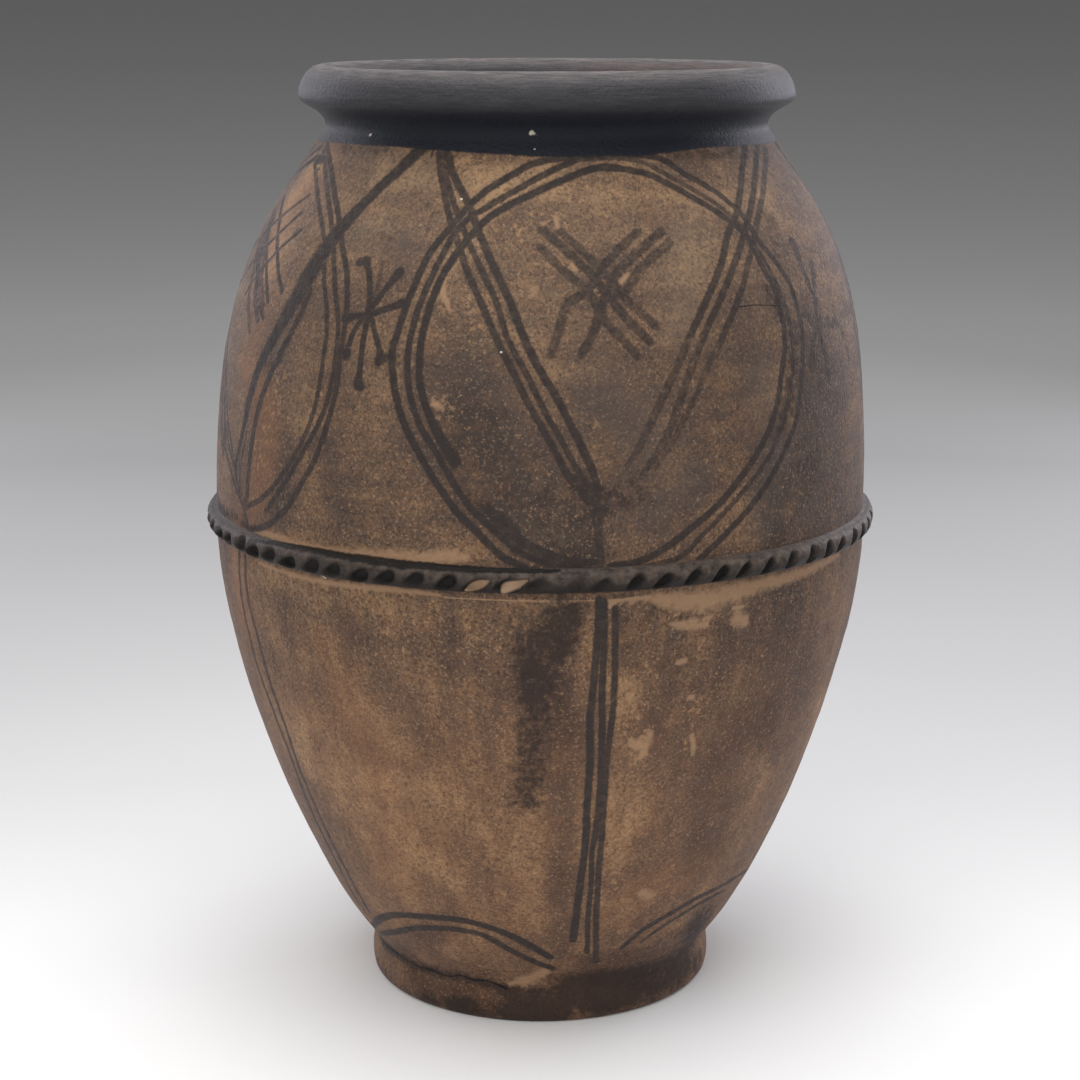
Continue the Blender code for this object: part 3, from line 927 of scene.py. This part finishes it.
def paintJar(mesh, azimuth, height, onBody, pit):
    # everything that the material reads, written to the mesh as attributes
    places, normals = readVectors(mesh, "co"), readVectors(mesh, "normal")
    radius = np.hypot(places[:, 0] - leanAt(height), places[:, 1])
    # paint is measured on the plain wall, so that the cordon doesn't stretch it, and the inside gets none
    wall = np.where(onBody[:, None], onWall(azimuth, height), places)
    wall[radius < midWall(height)] += 1.0
    strokes = brushStrokes(brushLines, turnsRound)
    for layer in brush["layers"]:
        writeAttribute(mesh, "brush " + layer, "FLOAT_COLOR", paintLayer(layer, strokes, wall, normals))
    for name, group in marks.items():
        writeAttribute(mesh, name, "FLOAT_COLOR", paintLayer("mark", markStrokes(group), wall, normals))
    for name, group in shades.items():
        writeAttribute(mesh, name, "FLOAT", softField(group, wall))
    writeAttribute(mesh, "pit", "FLOAT", pit)
    # slip: mm inside its edge, on the neck, down into the mouth and on the cordon
    edge = np.array(neckEdge, float)
    edgeAzimuth, edgeHeight = seenOnJar(edge[:, 0], edge[:, 1])
    neck = (height - np.interp(azimuth, edgeAzimuth, edgeHeight, period=math.tau)) * 1000
    neck = np.where(radius > jarForm["neckRadius"] - 0.003, neck, (height - jarHeight) * 1000 + 14)
    onStrip = (cordon["width"] / 2 + 0.0006 - np.abs(height - cordon["level"] - 0.0004)) * 1000
    onStrip = np.where(onBody, onStrip, -8)
    writeAttribute(mesh, "slip", "FLOAT", np.clip(np.maximum(neck, onStrip), -8, 8))
    # wear and sheen: the slip rubbed, with a painted highlight along the lip's crest and a painted sheen on
    # the cordon's upper half
    lip = np.zeros(len(height))
    for share, low, high in wear["lip"]:
        lip += share * smoothStep(jarHeight - low, jarHeight - high, height)
    # painted sheen on the cordon's upper half, kept out of the gouges
    crown = (1 - pit) * smoothStep(cordon["level"] - 0.005, cordon["level"] + 0.003, height)
    crown = crown * (wear["crown"] + wear["crownSwing"] * np.sin(azimuth + 0.6))
    writeAttribute(mesh, "wear", "FLOAT", np.where(onStrip > 0, crown, lip))
    inMouth = (height > jarHeight - wear["mouthDrop"]) & (radius < jarForm["neckRadius"] - 0.005)
    writeAttribute(mesh, "blush", "FLOAT", inMouth * smoothStep(-0.02, 0.09, places[:, 0]))
    print("painting:", len(strokes), "brush strokes laid")


breakJar(jarMesh, jarAzimuth, jarHeights, jarOutside)
paintJar(jarMesh, jarAzimuth, jarHeights, jarOutside, jarPitShade)


# Clay, slip and paint

# patches of colour in the clay: colour, size in mm, detail, noise from and to, strength
clouds = {
    "grey cast": ("#53443c", 45, 5, 0.50, 0.64, 0.45),
    "warm cast": ("#8c6644", 28, 5, 0.53, 0.66, 0.34),
    "olive": ("#5b5040", 14, 5, 0.53, 0.66, 0.42),
    "red brown": ("#603c2e", 7, 4, 0.54, 0.66, 0.45),
    "dark flecks": ("#2e241c", 3.2, 4, 0.54, 0.65, 0.70),
    "bare spots": ("#a5805c", 11, 6, 0.62, 0.68, 0.60),
    "dark grain": ("#33281f", 2.6, 3, 0.52, 0.61, 0.55),
    "pale grain": ("#b2957a", 2.1, 3, 0.56, 0.66, 0.42),
}

clay = {
    "mottle": {                # mm across, detail, roughness, share
        "firing": (62, 7, 0.66, 0.74),
        "speckle": (1.8, 3, 0.6, 0.58),
        "wiped": (13, 5, 0.62, 0.48),      # streaks, which run down below the cordon and round above it
    },
    "tone": 0.11,              # how far a full light or dark area moves along the ramp
    "ramp": [(0.20, "#372b25"), (0.38, "#503f36"), (0.50, "#69503d"), (0.62, "#84664b"), (0.80, "#a98762")],
}

# over that: colour, strength in the painted patches, then heights from and to and the strength grown there
casts = {
    "smoked": ("#5a504a", 0.28, 0.34, 0.50, 0.22),     # greyer above the cordon
    "warmed": ("#9c6a45", 0.22, 0.34, 0.24, 0.12),     # redder below it, and lighter where its field paints light on the left shoulder
}

# finer noises: grains to every 100 mm, detail and roughness
grains = {
    "ragged": (70, 3, 0.5),        # the dry edge of a brush line
    "patchy": (17, 5, 0.68),       # slip and burnish worn in patches
    "flaked": (26, 5, 0.72),
    "scratches": (110, 4, 0.7),    # across, and drawn out round the lip
    "relief": (38, 5, 0.65),
}

coatColours = {
    "bare": "#9d7d60",
    "flakes": "#a5815e",
    "grit": "#b59c80",
    "soot": "#2b201c",
    "ink": "#2f2826",
    "slip": "#191513",         # brown-black
    "neck slip": "#1b1f27",    # the same fired blue-black
    "rubbed lip": "#7f7876",
    "rubbed cordon": "#7b6b60",
    "blush": "#6a5450",
    # painted shade deep in the gouges
    "pit": "#100d0c",
}

# marks with crisp edges: colour, how far the edge wanders in half widths, strength
edgedMarks = {
    # near black: seams and cracks, and the painted shadow over the cordon
    "crack": ("#0e0a09", 1.6, 0.94),
    "chip": ("#cdc3b6", 0.8, 0.95),
    "broken": ("#9c8067", 0.3, 1.0),
}


def wayOff(tree, name, noise, wander):
    # how far off a painted line, in half widths and unevenly, and the line's ink
    line = addNode(tree, "Attribute", {"attribute_name": name})
    away = addNode(tree, "VectorMath", {"operation": "LENGTH"}, _0=line.outputs["Vector"])
    settings = {"operation": "MULTIPLY_ADD", 1: wander}
    away = addNode(tree, "Math", settings, _0=noise, _2=away.outputs["Value"])
    return away, line.outputs["Alpha"]


def clayMaterial():
    # burnished low-fired clay: brown flecked with olive, red and tan, brushed black-brown, with a dull sheen
    material, tree, shader = newMaterial("burnished earthenware")
    add = partial(addNode, tree)
    place = add("TexCoord").outputs["Object"]
    level = add("SeparateXYZ", _0=place).outputs["Z"]
    alongLip = add("VectorMath", {"operation": "MULTIPLY", 1: (0.045, 0.045, 1)}, _0=place)
    field = {}
    for name in ("tone", "soot", "flakes", "slip", "wear", "blush", "pit", "smoked", "warmed"):
        field[name] = add("Attribute", {"attribute_name": name}).outputs["Fac"]
    grain = {}
    for name, (count, detail, roughness) in grains.items():
        settings = {"Scale": 10 * count, "Detail": detail, "Roughness": roughness}
        grain[name] = add("TexNoise", settings, Vector=alongLip if name == "scratches" else place)
    patchy = grain["patchy"]

    # mottled ground: grain, streaks, firing colours and painted light and shade added up and looked up from
    # dark to light
    down = add("VectorMath", {"operation": "MULTIPLY", 1: (1, 1, 0.14)}, _0=place)
    around = add("VectorMath", {"operation": "MULTIPLY", 1: (0.2, 0.2, 1)}, _0=place)
    upper = add("Math", {"operation": "GREATER_THAN", 1: cordon["level"]}, _0=level)
    drawn = add("Mix", {"data_type": "VECTOR"}, _0=upper, _4=down, _5=around).outputs[1]
    middle = 0.5 - sum(share for size, detail, roughness, share in clay["mottle"].values()) / 2
    ground = add("Math", {"operation": "MULTIPLY_ADD", 1: clay["tone"], 2: middle}, _0=field["tone"])
    for name, (size, detail, roughness, share) in clay["mottle"].items():
        settings = {"Scale": 1000 / size, "Detail": detail, "Roughness": roughness}
        source = add("TexNoise", settings, Vector=drawn if name == "wiped" else place)
        ground = add("Math", {"operation": "MULTIPLY_ADD", 1: share}, _0=source, _2=ground)
    ramp = add("ValToRGB", Fac=ground)
    fillRamp(ramp, clay["ramp"])

    coats = []                 # colour and mask, one over the other
    for code, size, detail, low, high, strength in clouds.values():
        settings = {"noise_dimensions": "4D", "W": size, "Scale": 1000 / size, "Detail": detail}
        cloud = add("TexNoise", settings, Vector=place)
        cloud.inputs["Roughness"].default_value = 0.66
        settings = {"From Min": low, "From Max": high, "To Max": strength}
        coats.append((code, add("MapRange", settings, Value=cloud)))
    for name, (code, share, low, high, most) in casts.items():
        mask = add("MapRange", {"From Min": low, "From Max": high, "To Max": most}, Value=level)
        coats.append((code, add("Math", {"operation": "MULTIPLY_ADD", 1: share}, _0=field[name], _2=mask)))

    # bare tan clay where slip and burnish are lost
    away = wayOff(tree, "bare", patchy, 2.6)[0]
    mask = add("MapRange", {"From Min": 2.80, "From Max": 1.75, "To Max": 0.78}, Value=away)
    coats.append((coatColours["bare"], mask))

    # small tan flakes, most where the photograph shows them
    flaked = add("Math", {"operation": "MULTIPLY_ADD", 1: 0.12}, _0=field["flakes"], _2=grain["flaked"])
    mask = add("MapRange", {"From Min": 0.60, "From Max": 0.70, "To Max": 0.65}, Value=flaked)
    coats.append((coatColours["flakes"], mask))

    # pale grit, in one of fourteen cells that are 4 mm across
    grit = add("TexVoronoi", {"Scale": 250, "Randomness": 1}, Vector=place)
    settings = {"From Min": 0.18, "From Max": 0.10, "To Max": 0.5}
    dot = add("MapRange", settings, Value=grit.outputs["Distance"])
    chosen = add("SeparateColor", Color=grit.outputs["Color"])
    few = add("Math", {"operation": "GREATER_THAN", 1: 0.93}, _0=chosen)
    coats.append((coatColours["grit"], add("Math", {"operation": "MULTIPLY"}, _0=dot, _1=few)))

    # smoke and slip stains, and painted shadow above the cordon, speckled at their edges
    speckled = add("Math", {"operation": "MULTIPLY_ADD", 1: 3.0, 2: -1.65}, _0=patchy)
    speckled = add("Math", {"operation": "ADD"}, _0=speckled, _1=field["soot"])
    speckled = add("MapRange", {"From Min": 0.1, "From Max": 1.0, "To Max": 0.85}, Value=speckled)
    stained = add("MapRange", {"From Max": 0.35}, Value=field["soot"])
    mask = add("Math", {"operation": "MULTIPLY"}, _0=speckled, _1=stained)
    coats.append((coatColours["soot"], mask))

    # brush lines: the darkest of the layers, each soft and ragged at its edge
    inside, ink = None, None
    for layer in brush["layers"]:
        away, alpha = wayOff(tree, "brush " + layer, grain["ragged"], 0.5)
        settings = {"interpolation_type": "SMOOTHSTEP", "From Min": 1.34, "From Max": 0.80}
        mask = add("MapRange", settings, Value=away)
        load = add("Math", {"operation": "MULTIPLY"}, _0=mask, _1=alpha)
        if inside:
            mask = add("Math", {"operation": "MAXIMUM"}, _0=inside, _1=mask)
            load = add("Math", {"operation": "MAXIMUM"}, _0=ink, _1=load)
        inside, ink = mask, load
    # where the ink is thin the clay shows through in patches
    lack = add("Math", {"operation": "SUBTRACT", 0: 1.14}, _1=ink)
    swing = add("Math", {"operation": "MULTIPLY_ADD", 1: 3.4, 2: -1.75}, _0=patchy)
    cover = add("Math", {"operation": "MULTIPLY_ADD"}, _0=lack, _1=swing, _2=ink)
    cover = add("Math", {"operation": "MINIMUM", "use_clamp": True}, _0=cover, _1=inside)
    coats.append((coatColours["ink"], cover))

    # slip on the cordon, the neck and the lip, with a patchy edge
    edge = add("Math", {"operation": "MULTIPLY_ADD", 1: 3.0}, _0=patchy, _2=field["slip"])
    slipped = add("MapRange", {"From Min": 1.0, "From Max": 2.2, "To Max": 0.97}, Value=edge)
    coats.append((coatColours["slip"], slipped))
    onNeck = add("MapRange", {"From Min": 0.58, "From Max": 0.60}, Value=level)
    mask = add("Math", {"operation": "MULTIPLY"}, _0=slipped, _1=onNeck)
    coats.append((coatColours["neck slip"], mask))

    # the slip rubbed grey in thin scratches on the lip, up to a painted highlight on the crest, and brown in
    # patches on the crown of the cordon, partly rubbed and partly painted sheen
    onStrip = add("MapRange", {"From Min": 0.60, "From Max": 0.58}, Value=level)
    rubsAndSheens = (("rubbed lip", grain["scratches"], (0.38, 0.66, 0.32, 0.9), onNeck),
            ("rubbed cordon", patchy, (0.36, 0.66, 0.15, 1.0), onStrip))
    for name, source, (low, high, least, most), where in rubsAndSheens:
        settings = {"From Min": low, "From Max": high, "To Min": least, "To Max": most}
        rubbedAndSheen = add("MapRange", settings, Value=source)
        rubbedAndSheen = add("Math", {"operation": "MULTIPLY"}, _0=rubbedAndSheen, _1=field["wear"])
        rubbedAndSheen = add("Math", {"operation": "MULTIPLY"}, _0=rubbedAndSheen, _1=where)
        coats.append((coatColours[name], rubbedAndSheen))
    # a red blush inside the mouth, and painted shade in the gouges
    for name, share in (("blush", 0.3), ("pit", 0.8)):
        mask = add("Math", {"operation": "MULTIPLY", 1: share}, _0=field[name])
        coats.append((coatColours[name], mask))

    for name, (code, wander, most) in edgedMarks.items():
        away = wayOff(tree, name, patchy, wander)[0]
        settings = {"From Min": 1.2 + wander / 2, "From Max": 0.7 + wander / 2, "To Max": most}
        coats.append((code, add("MapRange", settings, Value=away)))

    colour = ramp.outputs["Color"]
    for code, mask in coats:
        colour = add("Mix", {"data_type": "RGBA", 7: hexColour(code)}, _0=mask, _6=colour).outputs[2]
    tree.links.new(colour, shader.inputs["Base Color"])

    # duller on the patchy clay, a little shinier on the slip
    dull = add("MapRange", {"From Min": 0.3, "From Max": 0.7, "To Min": 0.52, "To Max": 0.72}, Value=patchy)
    roughness = add("Mix", {3: 0.42}, _0=slipped, _2=dull)
    tree.links.new(roughness.outputs[0], shader.inputs["Roughness"])
    gloss = add("MapRange", {"To Min": 0.24, "To Max": 0.19}, Value=slipped)
    tree.links.new(gloss.outputs[0], shader.inputs["Specular IOR Level"])
    shader.inputs["Sheen Weight"].default_value = 0.08
    shader.inputs["Sheen Roughness"].default_value = 0.35
    shader.inputs["Sheen Tint"].default_value = hexColour("#cfc6d2")
    bump = add("Bump", {"Strength": 0.75, "Distance": 0.0016}, Height=grain["relief"])
    tree.links.new(bump.outputs[0], shader.inputs["Normal"])
    return material


jarMesh.materials.append(clayMaterial())
jarMesh.shade_smooth()
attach(jar, "root")
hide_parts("jar")


# Stage: a pale floor, painted with a pool of light that greys away behind the jar, and soft lamps

stage = {
    "floorReach": 400,      # metres, past the top of the picture
    "floorDrop": 0.0002,    # metres, so that the foot doesn't cut into it
    "lightPoolCentre": -0.5,     # the painted pool of light is brightest a little in front of the jar
    "halfway": 1.5,         # metres from there at which half of the painted falloff is used
    "fade": [(0.25, "#f0f0f0"), (0.32, "#e4e4e4"), (0.40, "#cfcfcf"), (0.48, "#bdbdbd"), (0.567, "#acacac"),
             (0.64, "#a3a3a3"), (0.70, "#b2b2b2"), (0.75, "#b6b6b6"), (0.80, "#afafaf"), (0.877, "#9e9e9e"),
             (0.947, "#8a8a8a"), (0.99, "#808080")],
    "sky": 0.42,
}


def floorMaterial():
    # matt emulsion paint on a flat floor, without a shine, its colour greying away from a painted pool of
    # light in front of the jar
    material, tree, shader = newMaterial("matt painted floor")
    add = partial(addNode, tree)
    place = add("TexCoord").outputs["Object"]
    shifted = add("Mapping", {"Location": (0, -stage["lightPoolCentre"], 0)}, Vector=place)
    away = add("VectorMath", {"operation": "LENGTH"}, Vector=shifted).outputs["Value"]
    more = add("Math", {"operation": "ADD", 1: stage["halfway"]}, _0=away)
    share = add("Math", {"operation": "DIVIDE"}, _0=away, _1=more)
    ramp = add("ValToRGB", Fac=share)
    fillRamp(ramp, stage["fade"])
    tree.links.new(ramp.outputs["Color"], shader.inputs["Base Color"])
    shader.inputs["Roughness"].default_value = 0.9
    shader.inputs["Specular IOR Level"].default_value = 0.1
    return material


def makeFloor():
    shape = bmesh.new()
    bmesh.ops.create_circle(shape, cap_ends=True, radius=stage["floorReach"], segments=128)
    bmesh.ops.translate(shape, verts=shape.verts, vec=(0, 0, cadLow.z - stage["floorDrop"]))
    mesh = bpy.data.meshes.new("floor")
    shape.to_mesh(mesh)
    shape.free()
    mesh.materials.append(floorMaterial())
    linkObject("floor", mesh)


lamps = {
    "key": {"place": (-1.3, -2.5, 2.4), "size": 2.6, "watts": 46, "colour": "#fffdfa"},
    "fill": {"place": (1.9, -1.9, 1.5), "size": 2.2, "watts": 11, "colour": "#fbfbff"},
    "left rim": {"place": (-1.9, 1.7, 1.0), "size": 1.4, "watts": 15, "colour": "#f4f3ff"},
    "right rim": {"place": (1.9, 1.7, 1.0), "size": 1.4, "watts": 22, "colour": "#f4f3ff"},
    "top": {"place": (0, -0.1, 3.0), "size": 2.5, "watts": 66, "colour": "#ffffff"},
}


def makeLamps():
    aim = Vector((0, 0, jarHeight * 0.45))
    for name, lamp in lamps.items():
        data = bpy.data.lights.new(name, "AREA")
        data.shape = "SQUARE"
        data.size = lamp["size"]
        data.energy = lamp["watts"]
        data.color = hexColour(lamp["colour"])[:3]
        thing = linkObject(name, data)
        thing.location = lamp["place"]
        thing.rotation_euler = (aim - thing.location).to_track_quat("-Z", "Y").to_euler()


def makeSky():
    world = bpy.data.worlds.new("studio")
    world.use_nodes = True
    bpy.context.scene.world = world
    shader = world.node_tree.nodes["Background"]
    shader.inputs["Color"].default_value = hexColour("#ffffff")
    shader.inputs["Strength"].default_value = stage["sky"]


makeFloor()
makeLamps()
makeSky()
bpy.context.scene.view_settings.view_transform = "Standard"

print("scene made")
